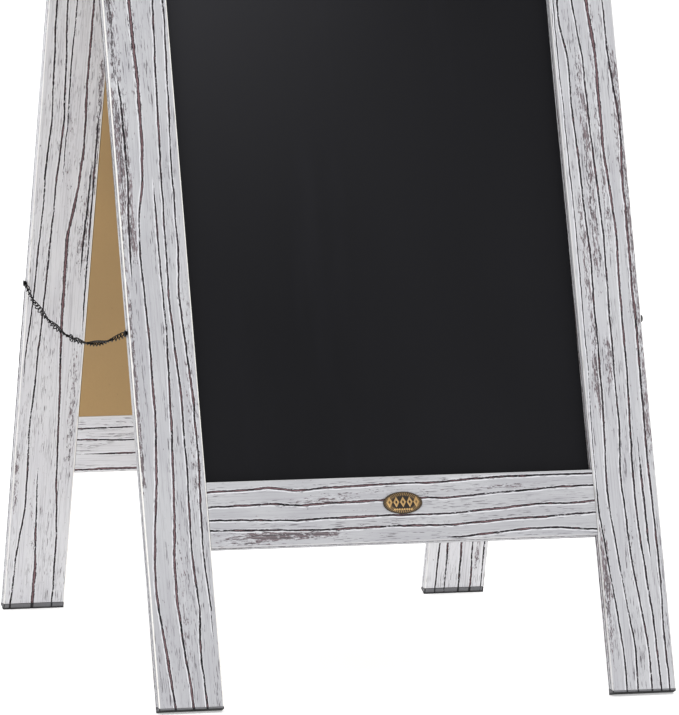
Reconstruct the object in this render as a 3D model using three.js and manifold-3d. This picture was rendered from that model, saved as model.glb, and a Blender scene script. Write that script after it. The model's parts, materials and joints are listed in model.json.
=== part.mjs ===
// A-frame menu chalkboard easel: two like wooden frames, hinged along their top edges and tied
// near the floor by a chain on each side. Each frame holds a black writing sheet and its backing.
// Millimetres, +Z up, floor at Z = 0. X is the board's width, and the front frame stands at -Y.

import * as THREE from "three";
import { mergeVertices } from "three/addons/utils/BufferGeometryUtils.js";
import Module from "manifold-3d";

const wasm = await Module();
wasm.setup();

// Frame stock. In a frame's own axes Y is the depth from its outer face and Z runs up its legs.
const boardWidth = 508;
const frameLength = 1016;
const legWidth = 63;
const stockThickness = 14;
const railHeight = 64;
const lowerRailBottom = 154;
const lean = THREE.MathUtils.degToRad(19.7);
const clearance = 0.3; // between pieces that touch on the real object
const closedGap = 1; // between the two frames when they are folded flat

// The panel is set in between the legs and the rails, flush with their inner faces.
const sheetDepth = 10.9; // of the writing sheet's face below the frame's
const panelEdgeGap = 0.4;
const sheetThickness = 0.4;
const backingThickness = 2.3;

// Loose tenons join the rails to the legs.
const tenonLength = 34;
const tenonHeight = 40;
const tenonThickness = 6;

// Rubber feet: wedges cut square to the leg, with a narrow flat at the heel that stands on the floor.
const footTop = 5.7; // above the floor
const footBottom = -0.85; // up the leg

// Butt hinges on the top edges.
const hingeX = 150;
const hingeLength = 50;
const leafThickness = 1.2;
const leafFrontMargin = 1.2;
const barrelRadius = 2.6;
const barrelClearance = 0.4;
const pinRadius = 1.2;
const boreRadius = 1.3;
const middleKnuckleLength = 16.4;
const hingeScrewSpacing = 30;
const hingeScrewDepth = 6.3; // of its axis in the stock
const hingeScrewLength = 13;
const hingeScrewRadius = 1.2;
const hingeScrewHeadRadius = 2.6;
const hingePilotRadius = 1.6;
const countersinkDepth = 1.45;
const countersinkRise = 0.15; // past the leaf's top face, for a clean cut
const countersinkTopRadius = 3.2;
const countersinkBottomRadius = 1.6;

// Chains on the outer side faces of the legs.
const chainScrewHeight = 367; // up the leg
const chainSag = 29.7;
const chainLinks = 45;
const linksPerRun = 11;
const chainOffset = 4.4; // centre line outside the side face
const chainRadius = 3.3;
const chainStart = 5; // clear of the screw head
const chainScrewInWood = 18;
const chainShankRadius = 1.4;
const chainHeadRadius = 3.9;
const chainHeadBottom = 2.2; // off the wood, with room for a link below it
const chainHeadTop = 3.3;
const chainStep = 15; // between the stations of a run

// Oval badge on the front frame's lower rail.
const badgeHeight = 191.5;
const badgeHalfWidth = 19.3;
const badgeHalfHeight = 10.8;

// Worked out from the above.
const halfWidth = boardWidth / 2;
const legInnerX = halfWidth - legWidth;
const upperRailBottom = frameLength - railHeight;
const lowerRailTop = lowerRailBottom + railHeight;
const leafBottom = frameLength + clearance;
const hingeHeight = leafBottom + barrelRadius;
const hingeDepth = stockThickness + closedGap / 2;
const footY = -(hingeHeight * Math.sin(lean) + hingeDepth * Math.cos(lean));
const heelRise = stockThickness * Math.sin(lean); // brings the inner heel edge to the floor

const roundSides = 16;
const colours = {
  wood: [0xcfced2, 0.75, 0],
  innerWood: [0xc9a877, 0.8, 0],
  sheet: [0x26272a, 0.6, 0],
  backing: [0xa5875f, 0.85, 0],
  rubber: [0x6f6f72, 0.7, 0],
  blackSteel: [0x101012, 0.35, 0.8],
  brass: [0x8b6f3f, 0.4, 0.9],
};

const easel = new THREE.Group();

// Booleans

function solidOf(geometry) {
  const bare = geometry.clone();
  bare.deleteAttribute("normal");
  bare.deleteAttribute("uv");
  const merged = mergeVertices(bare, 1e-4);
  const mesh = new wasm.Mesh({
    numProp: 3,
    vertProperties: new Float32Array(merged.attributes.position.array),
    triVerts: new Uint32Array(merged.index.array),
  });
  return new wasm.Manifold(mesh);
}

function geometryOf(solid) {
  const mesh = solid.getMesh();
  const geometry = new THREE.BufferGeometry();
  geometry.setAttribute("position", new THREE.BufferAttribute(mesh.vertProperties, 3));
  geometry.setIndex(new THREE.BufferAttribute(mesh.triVerts, 1));
  geometry.computeVertexNormals();
  return geometry;
}

function join(pieces) {
  const solids = pieces.map(solidOf);
  return geometryOf(solids.reduce((whole, piece) => whole.add(piece)));
}

function cut(geometry, cutters) {
  const solids = cutters.map(solidOf);
  return geometryOf(solids.reduce((whole, cutter) => whole.subtract(cutter), solidOf(geometry)));
}

// Shapes

function block(x, y, z) {
  const geometry = new THREE.BoxGeometry(x[1] - x[0], y[1] - y[0], z[1] - z[0]);
  return geometry.translate((x[0] + x[1]) / 2, (y[0] + y[1]) / 2, (z[0] + z[1]) / 2);
}

function rodAlongX(radius, x, y, z) {
  const geometry = new THREE.CylinderGeometry(radius, radius, x[1] - x[0], roundSides);
  return geometry.rotateZ(Math.PI / 2).translate((x[0] + x[1]) / 2, y, z);
}

function rodAlongZ(topRadius, bottomRadius, x, y, z) {
  const geometry = new THREE.CylinderGeometry(topRadius, bottomRadius, z[1] - z[0], roundSides);
  return geometry.rotateX(Math.PI / 2).translate(x, y, (z[0] + z[1]) / 2);
}

// An outline of [y, z] points, extruded along X.
function prismAlongX(outline, x) {
  const shape = new THREE.Shape(outline.map(([y, z]) => new THREE.Vector2(y, z)));
  const geometry = new THREE.ExtrudeGeometry(shape, { depth: x[1] - x[0], bevelEnabled: false });
  const alongX = new THREE.Matrix4().makeBasis(
    new THREE.Vector3(0, 1, 0),
    new THREE.Vector3(0, 0, 1),
    new THREE.Vector3(1, 0, 0),
  );
  return geometry.applyMatrix4(alongX).translate(x[0], 0, 0);
}

// A profile of [radius, height] points, turned about Z.
function turned(profile, sides = roundSides) {
  const points = profile.map(([radius, height]) => new THREE.Vector2(radius, height));
  return new THREE.LatheGeometry(points, sides).rotateX(Math.PI / 2);
}

function add(parent, name, geometry, colour) {
  const [color, roughness, metalness] = colours[colour];
  const material = new THREE.MeshStandardMaterial({ color, roughness, metalness });
  const mesh = new THREE.Mesh(geometry, material);
  mesh.name = name;
  parent.add(mesh);
  return mesh;
}

// Legs, feet and rails

// How far up a leg the level plane at a height above the floor lies, at a depth in the stock.
function upLegAt(height, depth) {
  return (height - heelRise + depth * Math.sin(lean)) / Math.cos(lean);
}

function tenonBlock(x, z, growth) {
  const radius = tenonThickness / 2 + growth;
  const straight = tenonHeight / 2 - tenonThickness / 2;
  const outline = new THREE.Shape();
  outline.absarc(0, straight, radius, 0, Math.PI);
  outline.absarc(0, -straight, radius, Math.PI, 2 * Math.PI);
  const points = outline.getPoints(6).map((point) => [point.x, point.y]);
  return prismAlongX(points, x).translate(0, stockThickness / 2, z);
}

function mortise(side, z) {
  const reach = tenonLength / 2 + clearance;
  const middle = side * legInnerX;
  return tenonBlock([middle - reach, middle + reach], z, clearance);
}

const railMiddles = {
  lower: lowerRailBottom + railHeight / 2,
  upper: upperRailBottom + railHeight / 2,
};

function leg(side) {
  const level = footTop + clearance;
  const outline = [
    [0, upLegAt(level, 0)],
    [stockThickness, upLegAt(level, stockThickness)],
    [stockThickness, frameLength],
    [0, frameLength],
  ];
  const left = side > 0 ? legInnerX : -halfWidth;
  const stock = prismAlongX(outline, [left, left + legWidth]);
  const pilotEnds = [side * (halfWidth - chainScrewInWood - 1), side * (halfWidth + 1)];
  const pilot = pilotEnds.sort((a, b) => a - b);
  return cut(stock, [
    mortise(side, railMiddles.lower),
    mortise(side, railMiddles.upper),
    rodAlongX(chainShankRadius + clearance, pilot, stockThickness / 2, chainScrewHeight),
  ]);
}

function foot(side) {
  const flatStart = (heelRise + footBottom * Math.cos(lean)) / Math.sin(lean);
  const outline = [
    [0, footBottom],
    [flatStart, footBottom],
    [stockThickness, upLegAt(0, stockThickness)],
    [stockThickness, upLegAt(footTop, stockThickness)],
    [0, upLegAt(footTop, 0)],
  ];
  const left = side > 0 ? legInnerX : -halfWidth;
  return prismAlongX(outline, [left, left + legWidth]);
}

function hingeScrewPlaces() {
  const places = [];
  for (const hinge of [-hingeX, hingeX]) {
    for (const step of [-0.5, 0.5]) {
      places.push(hinge + step * hingeScrewSpacing);
    }
  }
  return places;
}

function rail(which) {
  const bottom = which === "upper" ? upperRailBottom : lowerRailBottom;
  const end = legInnerX - clearance;
  const stock = block([-end, end], [0, stockThickness], [bottom, bottom + railHeight]);
  const cutters = [mortise(-1, railMiddles[which]), mortise(1, railMiddles[which])];
  if (which === "upper") {
    const pilotBottom = frameLength - hingeScrewLength;
    const pilotZ = [pilotBottom, frameLength + 1];
    for (const x of hingeScrewPlaces()) {
      cutters.push(rodAlongZ(hingePilotRadius, hingePilotRadius, x, hingeScrewDepth, pilotZ));
    }
  }
  return cut(stock, cutters);
}

// Panel

function panelPiece(front, thickness) {
  const x = legInnerX - panelEdgeGap;
  return block(
    [-x, x],
    [front, front + thickness],
    [lowerRailTop + panelEdgeGap, upperRailBottom - panelEdgeGap],
  );
}

// Hinges

function knuckle(x) {
  const tab = block(
    x,
    [hingeDepth - barrelRadius - barrelClearance - 1, hingeDepth],
    [leafBottom, leafBottom + leafThickness],
  );
  return [tab, rodAlongX(barrelRadius, x, hingeDepth, hingeHeight)];
}

function hingeLeaf(centre, holdsMiddle) {
  const half = hingeLength / 2;
  const plate = block(
    [centre - half, centre + half],
    [leafFrontMargin, hingeDepth - barrelRadius - barrelClearance],
    [leafBottom, leafBottom + leafThickness],
  );
  const middle = middleKnuckleLength / 2;
  const knuckles = holdsMiddle
    ? [[centre - middle, centre + middle]]
    : [
        [centre - half, centre - middle - clearance],
        [centre + middle + clearance, centre + half],
      ];
  const cutters = [
    rodAlongX(boreRadius, [centre - half - 1, centre + half + 1], hingeDepth, hingeHeight),
  ];
  const top = leafBottom + leafThickness;
  const sinkZ = [top - countersinkDepth, top + countersinkRise];
  for (const step of [-0.5, 0.5]) {
    const x = centre + step * hingeScrewSpacing;
    cutters.push(
      rodAlongZ(countersinkTopRadius, countersinkBottomRadius, x, hingeScrewDepth, sinkZ),
    );
  }
  return cut(join([plate, ...knuckles.flatMap(knuckle)]), cutters);
}

function hingeScrew() {
  return turned([
    [0, -hingeScrewLength],
    [0.8 * hingeScrewRadius, 1.5 - hingeScrewLength],
    [hingeScrewRadius, 3 - hingeScrewLength],
    [hingeScrewRadius, -countersinkDepth],
    [hingeScrewHeadRadius, 0],
    [0, 0],
  ]);
}

function hingePin(centre) {
  const half = hingeLength / 2 + clearance;
  return rodAlongX(pinRadius, [centre - half, centre + half], hingeDepth, hingeHeight);
}

// Chains

function chainScrew() {
  return turned([
    [0, -chainScrewInWood],
    [0.7 * chainShankRadius, 2 - chainScrewInWood],
    [chainShankRadius, 4 - chainScrewInWood],
    [chainShankRadius, chainHeadBottom],
    [chainHeadRadius, chainHeadBottom],
    [chainHeadRadius, chainHeadTop - 0.7],
    [0.8 * chainHeadRadius, chainHeadTop - 0.3],
    [0.4 * chainHeadRadius, chainHeadTop - 0.05],
    [0, chainHeadTop],
  ]);
}

const chainAnchor = {
  y: footY + chainScrewHeight * Math.sin(lean) + (stockThickness / 2) * Math.cos(lean),
  z: heelRise + chainScrewHeight * Math.cos(lean) - (stockThickness / 2) * Math.sin(lean),
};

// A parabola from the front screw to the back screw.
function chainCurve(side) {
  const x = side * (halfWidth + chainOffset);
  const { y, z } = chainAnchor;
  const front = new THREE.Vector3(x, y, z);
  const low = new THREE.Vector3(x, 0, z - 2 * chainSag);
  const back = new THREE.Vector3(x, -y, z);
  return new THREE.QuadraticBezierCurve3(front, low, back);
}

// A round stand-in for the links between two distances along the chain.
function chainRun(side, from, to) {
  const curve = chainCurve(side);
  const length = curve.getLength();
  const steps = Math.max(1, Math.round((to - from) / chainStep));
  const points = [];
  for (let i = 0; i <= steps; i += 1) {
    points.push(curve.getPointAt((from + ((to - from) * i) / steps) / length));
  }
  const section = new THREE.Shape();
  section.absarc(0, 0, chainRadius, 0, 2 * Math.PI);
  const corners = new THREE.Shape(section.getSpacedPoints(8).slice(0, 8));
  const path = new THREE.CatmullRomCurve3(points);
  return new THREE.ExtrudeGeometry(corners, { steps, extrudePath: path });
}

function addChain(side) {
  const where = side < 0 ? "left" : "right";
  const length = chainCurve(side).getLength();
  const pitch = length / chainLinks;
  const ends = [0, linksPerRun, 2 * linksPerRun, 2 * linksPerRun + 1];
  ends.push(3 * linksPerRun + 1, chainLinks);
  const names = ["front_upper", "front_lower", "middle_link", "back_lower", "back_upper"];
  names.forEach((name, i) => {
    const from = i === 0 ? chainStart : ends[i] * pitch + clearance / 2;
    const to = i === 4 ? length - chainStart : ends[i + 1] * pitch - clearance / 2;
    add(easel, `chain_${where}_${name}`, chainRun(side, from, to), "blackSteel");
  });
}

// Badge

function badge() {
  const unit = 10;
  const profile = [
    [0, clearance],
    [unit, clearance],
    [unit, 1],
    [0.95 * unit, 1.35],
    [0.86 * unit, 1.35],
    [0.8 * unit, 1.1],
    [0.62 * unit, 1.75],
    [0.34 * unit, 2.2],
    [0, 2.4],
  ];
  const oval = turned(profile, 28).scale(badgeHalfWidth / unit, badgeHalfHeight / unit, 1);
  return oval.rotateX(Math.PI / 2).translate(0, 0, badgeHeight);
}

// One frame with all that is fixed to it, standing at -Y, or at +Y when it is turned half round.
function addFrame(name, turn) {
  const half = new THREE.Group();
  half.rotation.z = turn;
  const frame = new THREE.Group();
  frame.position.set(0, footY, heelRise);
  frame.rotation.x = -lean;
  half.add(frame);
  easel.add(half);

  for (const side of [-1, 1]) {
    const worldSide = turn === 0 ? side : -side;
    const where = worldSide < 0 ? "left" : "right";
    add(frame, `leg_${name}_${where}`, leg(side), "wood");
    add(frame, `foot_${name}_${where}`, foot(side), "rubber");
    for (const which of ["lower", "upper"]) {
      const reach = tenonLength / 2;
      const middle = side * legInnerX;
      const tenon = tenonBlock([middle - reach, middle + reach], railMiddles[which], 0);
      add(frame, `tenon_${name}_${which}_${where}`, tenon, "innerWood");
    }
    const screw = add(frame, `chain_screw_${name}_${where}`, chainScrew(), "blackSteel");
    screw.rotation.y = (side * Math.PI) / 2;
    screw.position.set(side * halfWidth, stockThickness / 2, chainScrewHeight);

    const centre = side * hingeX;
    add(frame, `hinge_leaf_${name}_${where}`, hingeLeaf(centre, turn !== 0), "blackSteel");
    for (const step of [-0.5, 0.5]) {
      const inner = step * side < 0;
      const screwName = `hinge_screw_${name}_${where}_${inner ? "inner" : "outer"}`;
      const hingeFixing = add(frame, screwName, hingeScrew(), "blackSteel");
      const x = centre + step * hingeScrewSpacing;
      hingeFixing.position.set(x, hingeScrewDepth, leafBottom + leafThickness);
    }
    if (turn === 0) {
      add(frame, `hinge_pin_${where}`, hingePin(centre), "blackSteel");
    }
  }
  add(frame, `rail_${name}_lower`, rail("lower"), "wood");
  add(frame, `rail_${name}_upper`, rail("upper"), "wood");
  const backingDepth = sheetDepth + sheetThickness + clearance;
  add(frame, `writing_sheet_${name}`, panelPiece(sheetDepth, sheetThickness), "sheet");
  add(frame, `backing_board_${name}`, panelPiece(backingDepth, backingThickness), "backing");
  if (turn === 0) {
    add(frame, "badge_oval", badge(), "brass");
  }
}

addFrame("front", 0);
addFrame("back", Math.PI);
addChain(-1);
addChain(1);

export default easel;
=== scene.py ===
import json
import math
import random

import bpy
import numpy as np
from mathutils import Matrix, Vector, noise


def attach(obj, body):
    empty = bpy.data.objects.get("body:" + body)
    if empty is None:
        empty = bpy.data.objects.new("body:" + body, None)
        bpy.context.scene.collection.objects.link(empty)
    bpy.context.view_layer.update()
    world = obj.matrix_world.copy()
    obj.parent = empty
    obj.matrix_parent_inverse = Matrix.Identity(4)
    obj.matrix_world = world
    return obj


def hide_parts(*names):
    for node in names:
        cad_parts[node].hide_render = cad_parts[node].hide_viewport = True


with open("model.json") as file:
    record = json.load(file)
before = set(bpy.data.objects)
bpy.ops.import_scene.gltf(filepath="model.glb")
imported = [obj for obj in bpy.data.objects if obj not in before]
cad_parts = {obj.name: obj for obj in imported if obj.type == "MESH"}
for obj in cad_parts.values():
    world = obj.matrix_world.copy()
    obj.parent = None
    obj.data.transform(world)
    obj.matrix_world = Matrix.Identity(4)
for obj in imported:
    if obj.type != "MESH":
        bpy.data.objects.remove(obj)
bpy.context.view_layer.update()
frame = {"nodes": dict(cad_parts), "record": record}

MM = 0.001

# ---------------------------------------------------------------- places, in millimetres
# In a frame's own axes X is the width, Y the depth from the outer face, and Z runs up its legs.
LEAN = math.radians(19.7)
HINGE_DEPTH = 14.5
HINGE_UP = 1018.9
BOARD_WIDTH = 508.0
FRAME_LENGTH = 1016.0
LEG_WIDTH = 63.0
STOCK = 14.0
RAIL_HEIGHT = 64.0
LOWER_RAIL = 154.0
UPPER_RAIL = FRAME_LENGTH - RAIL_HEIGHT
INNER_X = BOARD_WIDTH / 2 - LEG_WIDTH
JOINT_GAP = 0.3
FOOT_TOP = 5.7  # above the floor
FOOT_BOTTOM = -0.85  # up the leg
CHAIN_SCREW_UP = 367.0
BADGE_UP = 191.5

HINGE = Vector(frame["record"]["behaviour"]["joints"][0]["pos_m"]) / MM
TILT = Matrix.Rotation(-LEAN, 4, "X")
ORIGIN = HINGE - TILT @ Vector((0, HINGE_DEPTH, HINGE_UP))
FRONT = Matrix.Translation(ORIGIN) @ TILT
BACK = Matrix.Rotation(math.pi, 4, "Z") @ FRONT
FRAMES = {"front": FRONT, "back": BACK}


# ---------------------------------------------------------------- camera, light and floor
CAMERA_PLACE = (-2.0666, -8.1363, 1.2845)  # in metres
CAMERA_DOWN = 6.747  # degrees below level
CAMERA_TURN = -14.335  # degrees about the vertical
CAMERA_LENS = 431.39


def add_camera():
    data = bpy.data.cameras.new("camera")
    data.sensor_fit = "VERTICAL"
    data.sensor_height = 36
    data.lens = CAMERA_LENS
    data.clip_end = 100
    camera = bpy.data.objects.new("camera", data)
    camera.location = CAMERA_PLACE
    camera.rotation_euler = (math.radians(90 - CAMERA_DOWN), 0, math.radians(CAMERA_TURN))
    bpy.context.collection.objects.link(camera)
    bpy.context.scene.camera = camera


def add_area(name, place, target, size, power):
    """A rectangular light aimed at a target, in metres and watts."""
    data = bpy.data.lights.new(name, "AREA")
    data.shape = "RECTANGLE"
    data.size, data.size_y = size
    data.energy = power
    light = bpy.data.objects.new(name, data)
    light.location = place
    light.rotation_euler = (Vector(target) - Vector(place)).to_track_quat("-Z", "Y").to_euler()
    bpy.context.collection.objects.link(light)


def add_studio():
    scene = bpy.context.scene
    scene.view_settings.view_transform = "Standard"
    scene.view_settings.look = "None"
    scene.view_settings.exposure = 0
    world = bpy.data.worlds.new("studio")
    world.use_nodes = True
    world.node_tree.nodes["Background"].inputs["Color"].default_value = (1, 1, 1, 1)
    world.node_tree.nodes["Background"].inputs["Strength"].default_value = 1.0
    scene.world = world
    add_area("key", (-5.4, -3.6, 3.2), (0, 0, 0.45), (3.0, 3.0), 50)
    add_area("low", (-1.6, -6.2, 0.38), (0, 0, 0.35), (5.0, 0.6), 100)
    add_area("behind", (1.6, 4.6, 3.4), (0, 0, 0.4), (3.0, 3.0), 30)

    mesh = bpy.data.meshes.new("floor")
    half = 45
    corners = [(-half, -half, 0), (half, -half, 0), (half, half, 0), (-half, half, 0)]
    mesh.from_pydata(corners, [], [(0, 1, 2, 3)])
    floor = bpy.data.objects.new("floor", mesh)
    bpy.context.collection.objects.link(floor)
    floor.data.materials.append(floor_material())


# ---------------------------------------------------------------- materials
class Nodes:
    """Short calls for a material's nodes."""

    def __init__(self, name):
        self.material = bpy.data.materials.new(name)
        self.material.use_nodes = True
        self.tree = self.material.node_tree
        self.shader = self.tree.nodes["Principled BSDF"]

    def put(self, socket, value):
        if isinstance(value, bpy.types.NodeSocket):
            self.tree.links.new(value, socket)
        else:
            socket.default_value = value

    def math(self, kind, a, b=0.0, c=0.0):
        node = self.tree.nodes.new("ShaderNodeMath")
        node.operation = kind
        for socket, value in zip(node.inputs, (a, b, c)):
            self.put(socket, value)
        return node.outputs[0]

    def times(self, a, b):
        return self.math("MULTIPLY", a, b)

    def ramp(self, value, low, high, to_low=0.0, to_high=1.0):
        node = self.tree.nodes.new("ShaderNodeMapRange")
        node.interpolation_type = "SMOOTHSTEP"
        for socket, item in zip(node.inputs, (value, low, high, to_low, to_high)):
            self.put(socket, item)
        return node.outputs[0]

    def mix(self, factor, a, b):
        node = self.tree.nodes.new("ShaderNodeMix")
        node.data_type = "RGBA"
        self.put(node.inputs["Factor"], factor)
        colours = [s for s in node.inputs if s.type == "RGBA"]
        self.put(colours[0], a)
        self.put(colours[1], b)
        return [s for s in node.outputs if s.type == "RGBA"][0]

    def attribute(self, name, vector=False):
        node = self.tree.nodes.new("ShaderNodeAttribute")
        node.attribute_name = name
        return node.outputs["Vector" if vector else "Fac"]

    def place(self):
        return self.tree.nodes.new("ShaderNodeTexCoord").outputs["Object"]

    def scaled(self, vector, scale, turn=(0, 0, 0)):
        node = self.tree.nodes.new("ShaderNodeMapping")
        node.inputs["Scale"].default_value = scale
        node.inputs["Rotation"].default_value = turn
        self.put(node.inputs["Vector"], vector)
        return node.outputs[0]

    def noise(self, vector, scale=1.0, detail=2.0, rough=0.5, warp=0.0):
        node = self.tree.nodes.new("ShaderNodeTexNoise")
        self.put(node.inputs["Vector"], vector)
        node.inputs["Scale"].default_value = scale
        node.inputs["Detail"].default_value = detail
        node.inputs["Roughness"].default_value = rough
        node.inputs["Distortion"].default_value = warp
        return node.outputs[0]

    def bump(self, height, distance, strength=1.0):
        node = self.tree.nodes.new("ShaderNodeBump")
        node.inputs["Distance"].default_value = distance
        node.inputs["Strength"].default_value = strength
        self.put(node.inputs["Height"], height)
        self.put(self.shader.inputs["Normal"], node.outputs[0])

    def finish(self, colour, roughness, metallic=0.0, specular=0.5):
        self.put(self.shader.inputs["Base Color"], colour)
        self.put(self.shader.inputs["Roughness"], roughness)
        self.put(self.shader.inputs["Metallic"], metallic)
        self.put(self.shader.inputs["Specular IOR Level"], specular)
        return self.material


def srgb(red, green, blue):
    """A screen colour of 0 to 255 as the linear one that a shader takes."""
    parts = [c / 255 for c in (red, green, blue)]
    linear = [c / 12.92 if c <= 0.04045 else ((c + 0.055) / 1.055) ** 2.4 for c in parts]
    return (*linear, 1.0)


def floor_material():
    """A white lit table: its own light comes up on the undersides."""
    n = Nodes("pale_floor")
    tone = n.noise(n.place(), 1.5, 2)
    colour = n.mix(tone, srgb(250, 250, 250), srgb(253, 253, 253))
    n.put(n.shader.inputs["Emission Color"], colour)
    n.shader.inputs["Emission Strength"].default_value = 0.4
    return n.finish(colour, 0.9)


WOOD_NOISES = {  # scale across, in depth and along the grain, then detail and roughness
    "blotch": ((0.05, 0.05, 0.012), 2, 0.5),
    "where": ((0.07, 0.05, 0.009), 1, 0.5),
    "fibre": ((1.1, 0.8, 0.014), 3, 0.6),
    "hair": ((1.1, 0.9, 0.065), 2, 0.6),
    "dash": ((0.75, 0.6, 0.12), 3, 0.65),
    "speck": ((0.95, 0.8, 0.3), 3, 0.65),
}


def wood_values(n):
    """What the mesh holds at each point (groove is 1 in a grain line, more in a wide one, and below
    0 on the lips beside it, where a highlight is painted), and the noises that run along its grain."""
    values = {key: n.attribute(key) for key in ("groove", "rough", "arris", "pale")}
    grain = n.attribute("grain", vector=True)  # across, depth and along, in millimetres
    for key, (scale, detail, rough) in WOOD_NOISES.items():
        values[key] = n.noise(n.scaled(grain, scale), 1, detail, rough)
    return values


def whitewash(n, v):
    """Paint over the fibres, with thin broken scratches in bands along the grain."""
    # pale sets each piece's tone, and in the back frame it also paints light over the frame's shade.
    paint = n.mix(v["pale"], srgb(153, 153, 157), srgb(203, 203, 207))
    paint = n.mix(n.ramp(v["blotch"], 0.35, 0.65, 0.0, 0.12), paint, srgb(222, 224, 222))
    colour = n.mix(n.ramp(v["fibre"], 0.5, 0.66, 0.0, 0.5), paint, srgb(142, 140, 146))
    scratch = n.times(n.ramp(v["hair"], 0.585, 0.63), n.ramp(v["where"], 0.44, 0.56, 0.1))
    return n.mix(n.times(scratch, 0.85), colour, srgb(78, 73, 78))


def rough_patches(n, v, colour):
    """Where the whitewash sits only on the high fibres, which also carry a painted highlight. Gives the
    colour, and how open the wood is.
    """
    torn = n.math("MULTIPLY_ADD", v["dash"], 0.6, n.times(v["speck"], 0.4))
    torn = n.math("MULTIPLY_ADD", v["rough"], 0.19, n.math("SUBTRACT", torn, 0.03))
    # Whitewash left on the raised fibres, made brighter as a painted highlight where they rise.
    raised_paint_and_highlight = n.times(n.ramp(torn, 0.56, 0.5), n.ramp(v["rough"], 0.2, 0.7, 0.0, 0.6))
    colour = n.mix(raised_paint_and_highlight, colour, srgb(198, 198, 202))
    opened = n.ramp(torn, 0.6, 0.64)
    brown = n.mix(n.ramp(v["fibre"], 0.4, 0.6), srgb(46, 37, 41), srgb(108, 91, 95))
    return n.mix(n.times(opened, 0.85), colour, brown), opened


def grain_lines(n, v, colour):
    """The main lines: dark, with brown in the middle of the wide ones and a painted highlight beside
    them on each side. Gives the colour, and how much of a line each place is."""
    edge_noise = n.math("MULTIPLY_ADD", v["speck"], 3.6, -1.8)
    line = n.ramp(n.math("ADD", v["groove"], edge_noise), 0.2, 0.5)
    line = n.times(line, n.ramp(v["groove"], 0.02, 0.15))
    tone = n.mix(n.ramp(v["blotch"], 0.4, 0.6), srgb(16, 14, 17), srgb(36, 29, 34))
    middle = n.times(n.ramp(v["groove"], 1.05, 1.25), n.ramp(v["speck"], 0.4, 0.56, 0.4))
    tone = n.mix(middle, tone, srgb(118, 92, 96))
    tone = n.mix(n.ramp(v["dash"], 0.53, 0.66, 0.0, 0.35), tone, srgb(112, 102, 106))
    # Painted highlight on the lips beside a line, where the groove value is below 0.
    lip_highlight = n.times(n.ramp(v["groove"], -0.1, -0.6), n.ramp(v["dash"], 0.64, 0.5, 0.0, 0.8))
    colour = n.mix(lip_highlight, colour, srgb(214, 214, 218))
    return n.mix(line, colour, tone), line


def foot_colour(n, v, line):
    """Smoky rubber, with the grain's lines carried over and painted shade along its edges and sole."""
    smoky = n.mix(v["fibre"], srgb(92, 92, 95), srgb(112, 112, 115))
    colour = n.mix(n.times(line, 0.9), smoky, srgb(18, 18, 20))
    # Painted shade: the edges, and the sole most of all, darkened as if out of the light.
    return n.mix(n.ramp(v["arris"], 0.0, 0.8, 0.0, 0.95), colour, srgb(14, 14, 15))


def wood_material(name, foot=False):
    """Whitewash over open dark grain, or the feet that take the same grain on."""
    n = Nodes(name)
    v = wood_values(n)
    colour, opened = rough_patches(n, v, whitewash(n, v))
    colour, line = grain_lines(n, v, colour)
    edge = n.times(v["arris"], n.ramp(v["speck"], 0.34, 0.46, 0.55, 0.95))
    colour = n.mix(edge, colour, srgb(236, 234, 228))  # edges keep more paint, and carry a painted highlight
    if foot:
        colour = foot_colour(n, v, line)
    height = n.math("SUBTRACT", n.times(v["fibre"], 0.25), n.times(opened, 0.5))
    n.bump(height, 0.0004, 0.6)
    roughness = n.ramp(n.math("MAXIMUM", line, opened), 0.0, 1.0, 0.62, 0.85)
    return n.finish(colour, roughness, specular=0.25)


def board_turn(back):
    """The turn of a material's axes that lines them up with a leaning panel."""
    return (LEAN if not back else -LEAN, 0, 0)


def sheet_material(name, back):
    """Matt writing paint with wiped streaks, and a painted sheen that lightens it towards the top left."""
    n = Nodes(name)
    flat = n.scaled(n.place(), (1, 1, 1), board_turn(back))
    cloud = n.noise(n.scaled(flat, (3.2, 3.2, 2.2)), 1, 3, 0.55, 0.4)
    wiped = n.noise(n.scaled(flat, (26, 26, 4)), 1, 3, 0.6)
    grit = n.noise(flat, 900, 2, 0.6)
    parts = n.tree.nodes.new("ShaderNodeSeparateXYZ")
    n.put(parts.inputs[0], n.place())
    upward = n.ramp(parts.outputs["Z"], 0.3, 0.95)
    # Painted sheen: the sheet is painted lighter towards its top left, where the lamps fall on it.
    painted_sheen = n.times(upward, n.ramp(parts.outputs["X"], 0.15, -0.2))
    colour = n.mix(n.ramp(cloud, 0.3, 0.7), srgb(14, 14, 17), srgb(18, 18, 21))
    colour = n.mix(n.ramp(wiped, 0.55, 0.8, 0, 0.25), colour, srgb(27, 27, 31))
    colour = n.mix(painted_sheen, colour, srgb(47, 47, 50))
    n.bump(grit, 0.0001, 0.35)
    return n.finish(colour, n.ramp(wiped, 0.3, 0.7, 0.5, 0.62), specular=0.1)


def hardboard_material(name, back):
    """Smooth brown fibreboard with fine fibres and a few darker flecks."""
    n = Nodes(name)
    flat = n.scaled(n.place(), (1, 1, 1), board_turn(back))
    cloud = n.noise(n.scaled(flat, (9, 9, 7)), 1, 3, 0.5)
    fibre = n.noise(n.scaled(flat, (420, 420, 300)), 1, 3, 0.65, 0.6)
    fleck = n.noise(n.scaled(flat, (240, 240, 130)), 1, 2, 0.5)
    colour = n.mix(n.ramp(cloud, 0.3, 0.7), srgb(146, 119, 78), srgb(153, 125, 83))
    colour = n.mix(n.ramp(fibre, 0.35, 0.75, 0, 0.22), colour, srgb(140, 112, 76))
    colour = n.mix(n.ramp(fleck, 0.72, 0.8, 0, 0.35), colour, srgb(118, 94, 65))
    n.bump(fibre, 0.0002, 0.5)
    return n.finish(colour, n.ramp(cloud, 0.3, 0.7, 0.68, 0.8))


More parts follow.
